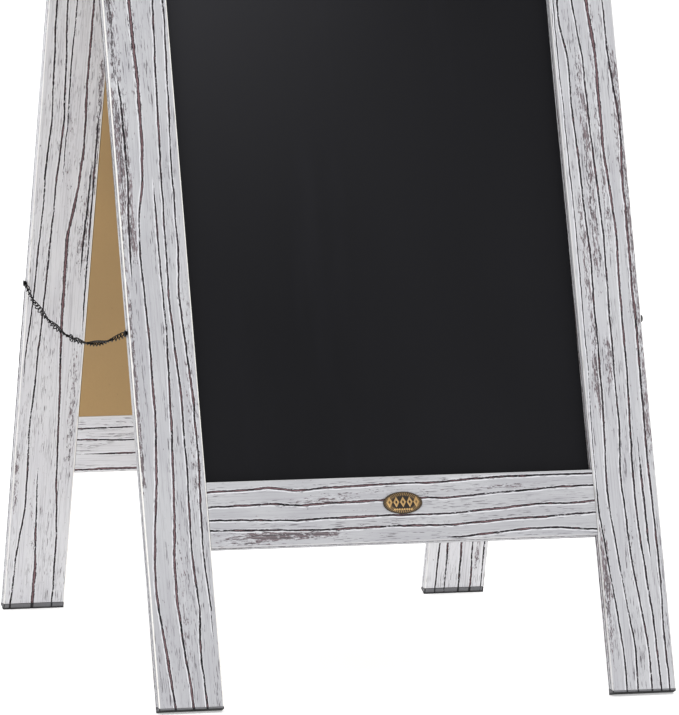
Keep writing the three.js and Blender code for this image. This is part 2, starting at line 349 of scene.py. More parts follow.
def black_steel_material():
    """Black painted steel, a little worn."""
    n = Nodes("black_steel")
    worn = n.noise(n.place(), 700, 3, 0.6)
    smear = n.noise(n.place(), 60, 2)
    colour = n.mix(n.ramp(worn, 0.6, 0.8, 0, 0.5), srgb(3, 3, 4), srgb(20, 19, 20))
    n.bump(worn, 0.00008, 0.4)
    return n.finish(colour, n.ramp(smear, 0.3, 0.7, 0.32, 0.48), specular=0.05)


def brass_material():
    """Antique brass, dark in the hollows: the mesh says how high each point of the relief is."""
    n = Nodes("antique_brass")
    relief = n.attribute("relief")
    patina = n.noise(n.place(), 900, 3, 0.6)
    bright = n.ramp(n.math("MULTIPLY_ADD", patina, 0.3, relief), 0.4, 0.95)
    colour = n.mix(bright, srgb(30, 23, 16), srgb(180, 147, 99))
    n.bump(patina, 0.0001, 0.4)
    return n.finish(colour, n.ramp(bright, 0, 1, 0.6, 0.36), n.ramp(bright, 0, 1, 0.35, 0.9))


def plain_wood_material():
    """Bare planed wood, for the hidden tenons."""
    n = Nodes("tenon_wood")
    rings = n.noise(n.scaled(n.place(), (120, 900, 900)), 1, 3, 0.6)
    colour = n.mix(n.ramp(rings, 0.35, 0.7), srgb(206, 176, 128), srgb(182, 148, 102))
    n.bump(rings, 0.0002, 0.4)
    return n.finish(colour, n.ramp(rings, 0.3, 0.7, 0.7, 0.85))


# ---------------------------------------------------------------- mesh helpers
def make_object(name, vertices, faces, material, attributes=None, flat_over=35):
    """A mesh with values at its points, sharp where its faces meet at more than flat_over degrees."""
    mesh = bpy.data.meshes.new(name)
    mesh.from_pydata([tuple(v) for v in vertices], [], faces)
    mesh.update()
    mesh.polygons.foreach_set("use_smooth", [True] * len(mesh.polygons))
    mesh.set_sharp_from_angle(angle=math.radians(flat_over))
    for key, values in (attributes or {}).items():
        kind = "FLOAT_VECTOR" if np.ndim(values) == 2 else "FLOAT"
        layer = mesh.attributes.new(key, kind, "POINT")
        layer.data.foreach_set("vector" if kind == "FLOAT_VECTOR" else "value", np.ravel(values))
    mesh.materials.append(material)
    made = bpy.data.objects.new(name, mesh)
    bpy.context.collection.objects.link(made)
    return made


def settle(made, matrix, body, node):
    """Puts a piece made in millimetres in its place, on the body it rides on, and hides the CAD part it
    stands for.
    """
    made.data.transform(Matrix.Scale(MM, 4) @ matrix)
    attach(made, body)
    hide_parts(node)


def tube_faces(rows, around, closed_rows=False):
    """The faces between rows of vertices that each go once around."""
    faces = []
    last = rows if closed_rows else rows - 1
    for r in range(last):
        for i in range(around):
            j = (i + 1) % around
            up = (r + 1) % rows
            faces.append((r * around + i, r * around + j, up * around + j, up * around + i))
    return faces


def circle(count):
    """The angles of points evenly spaced round a circle."""
    return [2 * math.pi * i / count for i in range(count)]


def capped_tube(rows, around):
    """The faces of a tube whose ends are closed."""
    last = (rows - 1) * around
    caps = [tuple(reversed(range(around))), tuple(range(last, last + around))]
    return tube_faces(rows, around) + caps


def turned(profile, sides=40):
    """Vertices and faces of a profile of (radius, height) turned about Z, from bottom to top."""
    vertices = []
    for radius, height in profile:
        for angle in circle(sides):
            vertices.append((radius * math.cos(angle), radius * math.sin(angle), height))
    return vertices, capped_tube(len(profile), sides)


def join_parts(parts):
    """Several (vertices, faces) pairs as one."""
    vertices, faces = [], []
    for some, more in parts:
        faces += [tuple(i + len(vertices) for i in face) for face in more]
        vertices += list(some)
    return vertices, faces


def combine(operation, made, parts):
    """Adds closed parts to a mesh (UNION) or takes them away from it (DIFFERENCE)."""
    vertices, faces = join_parts(parts)
    other = make_object("other", vertices, faces, made.data.materials[0])
    modifier = made.modifiers.new("combine", "BOOLEAN")
    modifier.operation = operation
    modifier.solver = "EXACT"
    modifier.object = other
    apply_modifiers(made)
    bpy.data.objects.remove(other)


def apply_modifiers(made):
    graph = bpy.context.evaluated_depsgraph_get()
    mesh = bpy.data.meshes.new_from_object(made.evaluated_get(graph))
    old = made.data
    made.modifiers.clear()
    made.data = mesh
    bpy.data.meshes.remove(old)


def block(x, y, z):
    """A box from its (low, high) along each axis."""
    corners = [(x[i], y[j], z[k]) for k in (0, 1) for j in (0, 1) for i in (0, 1)]
    faces = [(0, 2, 3, 1), (4, 5, 7, 6), (0, 1, 5, 4), (2, 6, 7, 3), (0, 4, 6, 2), (1, 3, 7, 5)]
    return corners, faces


def bevel(made, width):
    modifier = made.modifiers.new("edges", "BEVEL")
    modifier.width = width
    modifier.segments = 2
    modifier.limit_method = "ANGLE"
    modifier.angle_limit = math.radians(30)


# ---------------------------------------------------------------- boards
ARRIS = 0.7
EASE = 0.5  # from an arris to the next column of its face
FILLER = 2.6  # between the columns that follow no grain line
LIP = 1.3  # the lip before a grain line starts this far off its edge, and carries a painted highlight between these
LIP_HIGHLIGHT = (0.9, 0.3)  # and is pale between these
FAR_LIP = 0.8  # the lip after it ends this far off, and its painted highlight is strongest here
FAR_LIP_HIGHLIGHT = 0.4  # and is palest here
SMOOTH_STEP = 3.0  # along a board, for bending its grain lines softly
STATION = 5.0  # between a board's rows
# How strong the painted highlight is on the arris before each face of a board; on a foot the same marks
# are painted shade.
EVEN_EDGE_HIGHLIGHTS = (0.35, 0.35, 0.35, 0.35)
RAIL_EDGE_HIGHLIGHTS = (0.15, 0.15, 0.35, 0.35)
FOOT_EDGE_SHADE = (1, 1, 1, 1)
PALENESS_WITH_PAINTED_LIGHT = {  # of each piece's whitewash; the back frame's are raised to paint light over the shade on its inner faces
    ("front", "left"): 0.22,
    ("front", "right"): 0.32,
    ("front", "lower"): 0.15,
    ("front", "upper"): 0.2,
    ("back", "left"): 0.78,
    ("back", "right"): 0.95,
    ("back", "lower"): 0.8,
    ("back", "upper"): 0.66,
}


def smooth_track(points, at):
    """A line's value at each place along a board, through control points and softly bent."""
    points = sorted(points)
    places = [p[0] for p in points]
    values = [p[1] for p in points]
    fine = np.arange(at.min() - 60, at.max() + 60, SMOOTH_STEP)
    rough = np.interp(fine, places, values)
    window = np.hanning(11)
    soft = np.convolve(np.pad(rough, 5, "edge"), window / window.sum(), "valid")
    return np.interp(at, fine, soft)


def waver(at, seed):
    """Small unevenness of a grain line."""
    slow = [noise.noise((a * 0.03, seed, 1.7)) for a in at]
    quick = [noise.noise((a * 0.13, seed, 9.1)) for a in at]
    return 0.7 * np.array(slow) + 0.5 * np.array(quick)


def line_tracks(lines, at, width, seed):
    """Centre, half width and strength of each grain line of a face, all along it. Each line is a
    list of (along, across, width)."""
    centres, halves, solid = [], [], []
    for number, line in enumerate(lines):
        centres.append(smooth_track([(p[0], p[1]) for p in line], at) + waver(at, seed + number * 3.1))
        swell = 1 + 0.5 * waver(at * 1.7, seed + number * 7.7)
        drawn = smooth_track([(p[0], p[2]) for p in line], at)
        thickness = 0.95 * np.minimum(drawn, 1) + 0.75 * drawn  # open grain is never hair thin
        half = np.maximum(thickness * swell / 2, 0.0)
        broken = np.clip(0.9 + 0.9 * waver(at * 0.6, seed + number * 5.3), 0.45, 1)
        halves.append(half)
        solid.append(np.where(half > 1.2, 1.0, broken))
    margin = ARRIS + 2.0
    tight = 2.4  # between the edges of two lines
    for i in range(len(centres)):  # keep the lines in order
        left = margin if i == 0 else centres[i - 1] + halves[i - 1] + halves[i] + tight
        centres[i] = np.maximum(centres[i], left)
    for i in reversed(range(len(centres))):
        if i == len(centres) - 1:
            right = width - margin - halves[i]
        else:
            right = centres[i + 1] - halves[i + 1] - halves[i] - tight / 2
        centres[i] = np.minimum(centres[i], right)
    return zip(centres, halves, solid)


def face_columns(lines, at, width, seed):
    """Where a face's columns lie across it, how deep they are cut, and how much of a grain line
    they are: 1 in a line, more in the middle of a wide one, and below 0 on the lips beside it,
    where a highlight is painted."""
    across, drop, groove = [], [], []

    def column(place, depth=0.0, dark=0.0):
        across.append(place)
        drop.append(depth + np.zeros_like(at))
        groove.append(dark + np.zeros_like(at))

    def fill(start, target):
        count = max(1, round(float(np.mean(target - start)) / FILLER))
        for k in range(1, count):
            column(start + (target - start) * k / count)

    first = np.full_like(at, ARRIS)
    column(first)
    column(first + EASE)
    previous = first + EASE
    for centre, half, solid in line_tracks(lines, at, width, seed):
        body = np.maximum(half, 0.15)
        shown = np.clip(half / 0.45, 0, 1) * solid + np.clip(half - 0.9, 0, 0.5)
        dark = np.minimum(shown, 1)
        depth = dark * (0.22 + 0.12 * half)
        fill(previous, centre - body - LIP)
        column(centre - body - LIP)
        # Below 0 marks the painted highlight on the lips beside a line.
        for off in LIP_HIGHLIGHT:
            column(centre - body - off, 0.0, -dark)
        column(centre - body)
        column(centre - 0.6 * body, depth, dark)
        column(centre, 1.1 * depth, shown)
        column(centre + 0.6 * body, depth, dark)
        column(centre + body)
        column(centre + body + FAR_LIP_HIGHLIGHT, 0.0, -0.6 * dark)
        column(centre + body + FAR_LIP)
        previous = centre + body + FAR_LIP
    last = np.full_like(at, width - ARRIS)
    fill(previous, last - EASE)
    column(last - EASE)
    column(last)
    return np.array(across).T, np.array(drop).T, np.array(groove).T


def patch_amount(patches, across, along):
    """How rough the wood is at each place. Each patch is (from across, to across, from along,
    to along, strength)."""
    amount = np.zeros_like(across)
    for c0, c1, a0, a1, strength in patches:
        side = np.clip(np.minimum(across - c0, c1 - across) / 2.0 + 0.5, 0, 1)
        end = np.clip(np.minimum(along - a0, a1 - along) / 30.0 + 0.3, 0, 1)
        amount = np.maximum(amount, strength * side * end)
    return amount


def board_roughness(patches, x, y, z):
    """How rough each point of a board is, from the patches of its outer (0) and inner (2) faces."""
    rough = np.zeros_like(x)
    for side, some in patches.items():
        on_side = (y < 1.0) if side == 0 else (y > STOCK - 1.0)
        rough = np.maximum(rough, np.where(on_side, patch_amount(some, x, z), 0))
    return rough


def random_lines(width, length, seed, count):
    """Grain lines for a face that has no drawn ones."""
    chance = random.Random(seed)
    lines = []
    bend = [chance.uniform(-4, 4) for _ in range(8)]
    for i in range(count):
        middle = width * (i + 0.5 + chance.uniform(-0.2, 0.2)) / count
        thick = chance.choice([0.8, 1.2, 1.5, 2.0, 2.8])
        line = []
        for k in range(8):
            swell = chance.choice([0.0, 0.6, 1, 1, 1.2])
            line.append((length * k / 7, middle + bend[k] + chance.uniform(-1.2, 1.2), thick * swell))
        lines.append(line)
    return lines


def board_columns(faces, at, width, seed, edges):
    """Place across, depth, groove and arris of every column round a board, at every station."""
    zero = np.zeros_like(at)
    near, far, deep = 0.3 * ARRIS, width - 0.3 * ARRIS, STOCK - 0.3 * ARRIS
    corners = [(near, near), (far, near), (far, deep), (near, deep)]
    spans = [width, STOCK, width, STOCK]
    places = [
        lambda c, d: (c, d),
        lambda c, d: (width - d, c),
        lambda c, d: (width - c, STOCK - d),
        lambda c, d: (d, STOCK - c),
    ]
    columns = []
    for which in range(4):
        columns.append((zero + corners[which][0], zero + corners[which][1], zero, zero + edges[which]))
        across, drop, groove = face_columns(faces[which], at, spans[which], seed + 31 * which)
        last = across.shape[1] - 1
        for k in range(last + 1):
            arris = {0: edges[which], last: edges[(which + 1) % 4]}.get(k, 0.0)
            x, y = places[which](across[:, k], drop[:, k])
            columns.append((x, y, groove[:, k], zero + arris))
    return [np.array([c[i] for c in columns]).T for i in range(4)]


def board(name, width, low, high, faces, material, patches=None, seed=0.0, slant=40.0,
          edges=EVEN_EDGE_HIGHLIGHTS, pale=0.3):
    """A board with its grain along Z, X across and Y deep. low and high give the place of its ends
    at a depth, and slant how far up the board they are felt. faces holds the grain lines of its
    outer, right, inner and left faces, edges how strong the painted highlight is on the arris before
    each of them (painted shade on a foot), and patches the rough patches of its outer (0) and inner (2)
    faces."""
    start, end = float(low(0.0)), float(high(0.0))
    steps = max(2, round((end - start) / STATION))
    stations = list(np.linspace(start, end, steps + 1))
    if slant:
        stations += [start + 0.5, end - 0.5]
    at = np.array(sorted(stations))
    x, y, groove, arris = board_columns(faces, at, width, seed, edges)
    z = np.repeat(at[:, None], x.shape[1], axis=1)
    if slant:
        near_low = np.clip(1 - (z - start) / slant, 0, 1)
        near_high = np.clip(1 - (end - z) / slant, 0, 1)
        z = z + near_low * (low(y) - start) + near_high * (high(y) - end)
        for row in (0, -1):  # ease the ends
            x[row] = np.clip(x[row], 0.35, width - 0.35)
            y[row] = np.clip(y[row], 0.35, STOCK - 0.35)
    else:
        z = low(y) + (z - start) / (end - start) * (high(y) - low(y))
        # With no slant the board is a foot: its sole row takes the full edge mark, which paints shade
        # there.
        arris[0] = 1.0
    vertices = np.stack([x, y, z], axis=-1).reshape(-1, 3)
    shift = np.array([seed * 97.0, seed * 13.0, seed * 411.0])  # no two boards have the same grain
    attributes = {
        "grain": vertices + shift,
        "groove": groove.reshape(-1),
        "arris": arris.reshape(-1),
        "rough": board_roughness(patches or {}, x, y, z).reshape(-1),
        "pale": np.full(len(vertices), pale),
    }
    return make_object(name, vertices, capped_tube(*x.shape), material, attributes, flat_over=50)


# Grain lines of the faces that show most, as (along, across, width).
FRONT_LEFT = [
    [(1016, 5, 0), (620, 8, 0), (600, 10, 1.4), (520, 11, 1.8), (470, 8, 1.6), (430, 7, 1), (410, 6, 0),
     (300, 3, 0), (0, 2.5, 0)],
    [(1016, 30, 3), (690, 26, 3.2), (600, 28, 3.6), (550, 28, 3.4), (505, 24, 2.6), (480, 18.5, 1.6),
     (430, 17, 1.4), (380, 19, 1.5), (290, 19, 2), (220, 15.5, 2.2), (180, 11, 2.4), (140, 6.5, 1.8),
     (110, 6.5, 1.8), (70, 10, 2.2), (0, 16, 2.4)],
    [(1016, 40, 0), (520, 36, 0), (490, 36, 1), (450, 35.5, 1.2), (370, 37, 1.2), (270, 34, 2),
     (200, 30.5, 2.2), (140, 26, 2.4), (100, 26, 2.2), (50, 30, 1.6), (0, 34, 2.2)],
    [(1016, 52, 1.5), (690, 49.5, 1.6), (600, 46, 1.6), (550, 44.5, 1.7), (490, 43.5, 1.4),
     (400, 41.5, 1.4), (350, 43.5, 1.5), (300, 46, 1.6), (230, 45.5, 1.4), (150, 43.7, 1.6), (95, 47, 1.5),
     (50, 44.5, 1.5), (0, 47.3, 1.8)],
    [(1016, 59, 1), (690, 60, 1.2), (600, 57, 1.2), (510, 54.5, 1), (450, 54.5, 1.2), (400, 52, 1.4),
     (320, 56.5, 1.8), (250, 58, 1.4), (150, 55, 1.4), (100, 58, 1), (60, 58, 0), (0, 58, 0)],
]
FRONT_LEFT_ROUGH = [
    (6, 15, 430, 610, 0.9), (0.5, 4.5, 200, 620, 1), (1.5, 8, 600, 1016, 1), (8, 13, 560, 720, 0.6),
    (50, 62, 180, 420, 0.45), (28, 38, 20, 180, 0.4), (22, 31, 560, 700, 0.45), (9, 16, 20, 110, 0.35),
]
FRONT_RIGHT = [
    [(1016, 3.2, 0.6), (640, 3.4, 0.6), (480, 5.6, 0.7), (330, 5, 0.6), (210, 2, 0.4), (190, 2, 0.9),
     (130, 6.8, 1), (70, 12.7, 1.1), (30, 15, 1.1), (0, 14.5, 1.2)],
    [(1016, 8, 1.4), (685, 4, 1.4), (630, 13, 1.4), (580, 12.5, 1.4), (500, 15.7, 1.4), (430, 17.7, 1.5),
     (350, 17, 1.5), (310, 17, 1.5), (250, 15, 1.4), (200, 12.5, 1.4), (150, 16, 1.3), (100, 21, 1.2),
     (45, 26.3, 1.2), (0, 26, 1.2)],
    [(1016, 26, 1.3), (685, 22, 1.3), (630, 28, 1.3), (540, 29.5, 1.4), (450, 33, 1.4), (350, 31.2, 1.2),
     (260, 30.7, 1.2), (200, 27.5, 1.3), (130, 31, 1.3), (70, 37, 1.3), (30, 40.4, 1.3), (0, 39.5, 1.3)],
    [(1016, 44, 3), (685, 37, 4), (625, 41.5, 3.4), (540, 40.4, 2.6), (455, 46, 2), (400, 44, 1.8),
     (340, 44, 1.8), (280, 42.3, 1.6), (185, 39.6, 1.6), (100, 44.6, 1.5), (50, 48.3, 1.5),
     (0, 48.5, 1.4)],
    [(1016, 52, 0), (240, 48, 0), (210, 48.5, 1.6), (150, 49, 1.6), (130, 50, 0), (0, 52, 0)],
    [(1016, 57, 1.4), (685, 51, 1.3), (620, 54.5, 1.5), (555, 60, 2), (510, 57.5, 2.2), (400, 56.8, 2.2),
     (350, 57.3, 2), (230, 55.8, 1.6), (130, 58, 1.3), (50, 56.5, 1.3), (0, 57, 1.2)],
]
FRONT_RIGHT_ROUGH = [
    (10, 17, 250, 500, 0.7), (10, 16, 260, 345, 1.2), (20, 29, 400, 640, 0.75), (22, 30, 290, 360, 0.7),
    (35, 41, 420, 640, 0.6), (55, 62.5, 230, 640, 0.85), (0.5, 8.5, 30, 165, 1), (37, 43, 620, 720, 0.6),
    (28, 36, 90, 200, 0.3),
]
BACK_LEFT = [  # across measured from the outer side
    [(1016, 10, 1.3), (680, 8, 1.3), (550, 12.3, 1.4), (490, 9, 1.3), (455, 9.9, 1.3), (400, 7.9, 1.3),
     (350, 7, 1.2), (300, 3.6, 1), (250, 3, 0), (0, 3, 0)],
    [(1016, 22, 1.4), (680, 19, 1.4), (550, 24.4, 1.6), (480, 21.2, 1.5), (400, 19.2, 1.5), (320, 17, 1.4),
     (270, 15.4, 1.5), (200, 12.6, 1.6), (120, 15, 1.5), (60, 9, 1.4), (0, 6.5, 1.4)],
    [(1016, 31, 0.9), (680, 28.8, 0.9), (600, 27.5, 0.9), (520, 28, 0.8), (470, 27, 0), (160, 25, 0),
     (145, 25.3, 0.9), (80, 28, 2), (50, 29.6, 2.8), (0, 30, 3.6)],
    [(1016, 49, 2), (680, 46, 2), (590, 45, 2.4), (510, 47, 2.2), (460, 42.3, 2.6), (420, 37, 3.8),
     (350, 37.6, 3.6), (310, 38.5, 2.4), (250, 41.4, 1.8), (150, 45, 1.6), (80, 50, 1.5), (0, 50, 1.5)],
    [(1016, 57, 0), (500, 56, 0), (490, 56, 1.2), (440, 54.5, 1.4), (400, 53.6, 1.2), (370, 53, 0),
     (0, 53, 0)],
    # The last draws a dark line along the inner edge, beside the backing board.
    [(1016, 61, 0), (560, 61, 0), (545, 61, 1.3), (390, 61, 1.4), (340, 60, 1), (310, 60, 0),
     (0, 60, 0)],
]
BACK_LEFT_ROUGH = [
    (49, 58, 380, 480, 0.8), (52, 59, 150, 300, 0.6), (1, 5, 100, 190, 0.8), (30, 36, 440, 560, 0.35),
    (42, 50, 480, 640, 0.4), (20, 28, 40, 160, 0.4), (57, 62.5, 460, 780, 0.8),
]
BACK_RIGHT = [
    [(1016, 14, 1.2), (300, 13, 1.2), (85, 12.2, 1.2), (45, 11.2, 1.1), (0, 10.9, 1.1)],
    [(1016, 24, 2), (300, 20, 2), (85, 19, 2.4), (50, 20, 2), (0, 21, 1.2)],
    [(1016, 36, 1.6), (300, 35, 1.6), (85, 33.5, 2), (50, 35, 2.2), (0, 35.5, 2)],
    [(1016, 45, 1.4), (300, 46, 1.4), (85, 46, 1.5), (0, 48.3, 1.6)],
    [(1016, 56, 1.4), (300, 55.6, 1.4), (85, 59.5, 1.8), (50, 60, 1.2), (0, 60.5, 0.6)],
]
BACK_RIGHT_ROUGH = [(49, 55, 20, 85, 0.7), (19, 24, 20, 90, 0.4), (24, 34, 200, 500, 0.5)]
LOWER_RAIL_LINES = [  # across from the rail's bottom edge, along given as x
    [(-191, 1, 0), (42, 1.5, 0), (52, 2.2, 1.3), (80, 5, 1.5), (120, 8.6, 1.6), (150, 8.7, 1.5),
     (191, 5.5, 1.4)],
    [(-191, 16.5, 1.4), (-75, 14.2, 1.4), (0, 15.5, 1.5), (50, 14.7, 1.4), (100, 18, 1.5),
     (191, 22.2, 1.4)],
    [(-191, 26.8, 1.4), (-105, 24.4, 1.4), (-40, 25.8, 1.8), (45, 26, 1.5), (100, 29.5, 1.6),
     (135, 32.5, 1.6), (165, 32, 1.4), (191, 34, 1.4)],
    [(-191, 39.7, 1.3), (-140, 40.4, 1.3), (-125, 41.6, 1.5), (-105, 38.6, 1.4), (-50, 40.3, 2.2),
     (20, 41.6, 1.4), (45, 41.2, 1.4), (100, 45, 1.4), (180, 49, 1.3)],
    [(-191, 54, 1.5), (-140, 55.7, 1.5), (-125, 56.8, 1.6), (-110, 53.2, 1.6), (-50, 55.5, 1.6),
     (0, 56.8, 1.5), (40, 56.8, 1.5), (80, 59, 1.6), (120, 61, 1.4), (191, 61.5, 1)],
]
LOWER_RAIL_ROUGH = [
    (6, 14, -165, -60, 1.1), (1, 13, -191, -120, 0.6), (40, 46, -110, -40, 0.8), (46, 52, -95, 60, 0.4),
    (48, 53, 50, 140, 0.5), (16, 21, -20, 60, 0.35), (35, 40, -140, -60, 0.3), (58, 63, 20, 110, 0.5),
]
DRAWN_LEGS = {
    ("front", "left"): (FRONT_LEFT, FRONT_LEFT_ROUGH),
    ("front", "right"): (FRONT_RIGHT, FRONT_RIGHT_ROUGH),
    ("back", "left"): (BACK_LEFT, BACK_LEFT_ROUGH),
    ("back", "right"): (BACK_RIGHT, BACK_RIGHT_ROUGH),
}
LEG_EDGE_HIGHLIGHTS = {  # painted highlight on the arris before each face, where it isn't even
    ("front", "left"): (0.9, 1.0, 0.35, 0.5),
    ("back", "left"): (0.35, 0.35, 0.5, 1.0),
}


def own_side(name, where):
    """Which way a side lies along its own frame's X: the back frame's left side is at +X."""
    side = -1 if where == "left" else 1
    return side if name == "front" else -side


def up_leg(height, depth):
    """How far up a leg the level plane at a height above the floor lies, at a depth."""
    return (height - ORIGIN.z + depth * math.sin(LEAN)) / math.cos(LEAN)


def level_end(height):
    """A leg's end that is level, at a height above the floor."""
    return lambda depth: up_leg(height, depth)


def square_end(place):
    """A board's end that is square to it."""
    return lambda depth: place + 0 * depth


def foot_sole(depth):
    """The foot's end: square to the leg, and level where it stands on the floor."""
    return np.maximum(FOOT_BOTTOM, up_leg(0, depth))


def mirrored_rough(patches):
    """A leg's rough patches, read from its other edge."""
    return [(LEG_WIDTH - c1, LEG_WIDTH - c0, a0, a1, s) for c0, c1, a0, a1, s in patches]


def side_lines(seed):
    """Grain lines for a board's narrow face."""
    return random_lines(STOCK, FRAME_LENGTH, seed, 2)


def add_leg(name, where, wood, foot_wood, seed):
    """A leg and its foot. The grain lines drawn for it are on the side that faces the front."""
    lines, rough = DRAWN_LEGS[name, where]
    other = random_lines(LEG_WIDTH, FRAME_LENGTH, int(seed * 7 + 3), 5)
    # An inner face is read from its right edge to its left, which is how it looks from inside.
    outer, inner = (lines, other) if name == "front" else (other, lines)
    patches = {0: rough} if name == "front" else {2: mirrored_rough(rough)}
    faces = [outer, side_lines(int(seed * 5 + 1)), inner, side_lines(int(seed * 5 + 2))]
    left = INNER_X if own_side(name, where) > 0 else -BOARD_WIDTH / 2
    place = FRAMES[name] @ Matrix.Translation((left, 0, 0))
    body = f"{name}_frame"
    made = board(f"wood_leg_{name}_{where}", LEG_WIDTH, level_end(FOOT_TOP + JOINT_GAP),
                 square_end(FRAME_LENGTH), faces, wood, patches, seed,
                 edges=LEG_EDGE_HIGHLIGHTS.get((name, where), EVEN_EDGE_HIGHLIGHTS), pale=PALENESS_WITH_PAINTED_LIGHT[name, where])
    settle(made, place, body, f"leg_{name}_{where}")
    made = board(f"pad_foot_{name}_{where}", LEG_WIDTH, foot_sole, level_end(FOOT_TOP), faces, foot_wood,
                 None, seed, slant=0, edges=FOOT_EDGE_SHADE)
    settle(made, place, body, f"foot_{name}_{where}")


def add_rail(name, which, wood, seed):
    """A rail, whose own Z axis runs along -X of the frame and whose X axis runs up."""
    length = 2 * (INNER_X - JOINT_GAP)
    bottom = LOWER_RAIL if which == "lower" else UPPER_RAIL
    drawn = [[(-x + length / 2, c, 1.2 * w) for x, c, w in line] for line in LOWER_RAIL_LINES]
    drawn_rough = [(c0, c1, length / 2 - x1, length / 2 - x0, s) for c0, c1, x0, x1, s in LOWER_RAIL_ROUGH]
    outer = random_lines(RAIL_HEIGHT, length, int(seed * 9 + 4), 5)
    inner = random_lines(RAIL_HEIGHT, length, int(seed * 9 + 5), 4)
    patches = {0: [(5, 14, 40, 150, 0.7), (40, 50, 200, 320, 0.5)]}
    if (name, which) == ("front", "lower"):
        outer, patches = drawn, {0: drawn_rough}
    faces = [outer, side_lines(int(seed * 9 + 6)), inner, side_lines(int(seed * 9 + 7))]
    turn = Matrix(((0, 0, -1, 0), (0, 1, 0, 0), (1, 0, 0, 0), (0, 0, 0, 1)))
    place = FRAMES[name] @ Matrix.Translation((length / 2, 0, bottom)) @ turn
    made = board(f"wood_rail_{name}_{which}", RAIL_HEIGHT, square_end(0), square_end(length), faces, wood,
                 patches, seed, edges=RAIL_EDGE_HIGHLIGHTS, pale=PALENESS_WITH_PAINTED_LIGHT[name, which])
    settle(made, place, f"{name}_frame", f"rail_{name}_{which}")


# ---------------------------------------------------------------- screws and hinges
PAN_RADIUS = 3.4
PAN_TOP = 3.2
FLAT_RADIUS = 2.6
RECESS_DEPTH = 0.7
HINGE_X = 150.0
HINGE_HALF = 25.0
LEAF_BOTTOM = FRAME_LENGTH + JOINT_GAP
LEAF = 1.2
LEAF_START = 1.2  # in from the frame's outer face
LEAF_GAP = 0.4  # between a leaf's plate and the barrel
BARREL = 2.6
MIDDLE = 16.4  # length of the back leaf's knuckle
KNUCKLE_GAP = 0.3
PIN = 1.2
PIN_BORE = 1.3
PIN_HALF = 25.3
SCREW_SPACING = 30.0
SCREW_DEPTH = 6.3
SCREW_STEPS = (-0.5, 0.5)


def recess(radius, top, depth):
    """Two crossed bars that cut a cross into a screw's head."""
    half = 0.16 * radius
    reach = 0.55 * radius
    one = block((-reach, reach), (-half, half), (top - depth, top + 1))
    other = block((-half, half), (-reach, reach), (top - depth, top + 1.01))
    return one, other


def add_screw(name, profile, head_radius, top, matrix, body, steel, node):
    """A screw turned from its profile, with a cross cut into its head."""
    vertices, faces = turned(profile)
    made = make_object(name, vertices, faces, steel, flat_over=40)
    for bar in recess(head_radius, top, RECESS_DEPTH):
        combine("DIFFERENCE", made, [bar])
    made.data.set_sharp_from_angle(angle=math.radians(40))
    settle(made, matrix, body, node)


def add_chain_screw(name, where, steel):
    """A pan head screw in a leg's outer side, with room under its head for a link."""
    side = own_side(name, where)
    profile = [(0.4, -17.8), (1.0, -16), (1.35, -14), (1.35, 2.2), (3.2, 2.2), (PAN_RADIUS, 2.3),
               (PAN_RADIUS, 2.5), (3.2, 2.7), (2.7, 2.9), (1.9, 3.08), (1.1, 3.17), (0.3, PAN_TOP)]
    turn = Matrix.Rotation(side * math.pi / 2, 4, "Y")
    shift = Matrix.Translation((side * BOARD_WIDTH / 2, STOCK / 2, CHAIN_SCREW_UP))
    add_screw(f"pan_head_{name}_{where}", profile, PAN_RADIUS, PAN_TOP, FRAMES[name] @ shift @ turn,
              f"{name}_frame", steel, f"chain_screw_{name}_{where}")


def add_hinge_screw(name, where, step, steel):
    """A flat head screw, flush with a leaf."""
    side = own_side(name, where)
    which = "inner" if step * side < 0 else "outer"
    profile = [(0.3, -12.9), (0.9, -11.5), (1.15, -10), (1.15, -1.45), (2.5, -0.1), (2.4, 0.0), (0.5, 0.0)]
    x = side * HINGE_X + step * SCREW_SPACING
    place = FRAMES[name] @ Matrix.Translation((x, SCREW_DEPTH, LEAF_BOTTOM + LEAF))
    add_screw(f"flat_head_{name}_{where}_{which}", profile, FLAT_RADIUS, 0.0, place, f"{name}_frame",
              steel, f"hinge_screw_{name}_{where}_{which}")


def rod_along_x(radius, x, y, z, sides=40):
    """Vertices and faces of a round rod along X, with eased ends."""
    vertices = []
    rim = min(0.25, radius / 3)
    rows = [(x[0], radius - rim), (x[0] + rim, radius), (x[1] - rim, radius), (x[1], radius - rim)]
    for place, r in rows:
        for angle in circle(sides):
            vertices.append((place, y + r * math.cos(angle), z + r * math.sin(angle)))
    return vertices, capped_tube(len(rows), sides)


def knuckle_spans(name):
    """Where a leaf's knuckles lie along the hinge: the front one's are outside the back one's."""
    middle = MIDDLE / 2
    if name == "back":
        return [(-middle, middle)]
    return [(-HINGE_HALF, -middle - KNUCKLE_GAP), (middle + KNUCKLE_GAP, HINGE_HALF)]


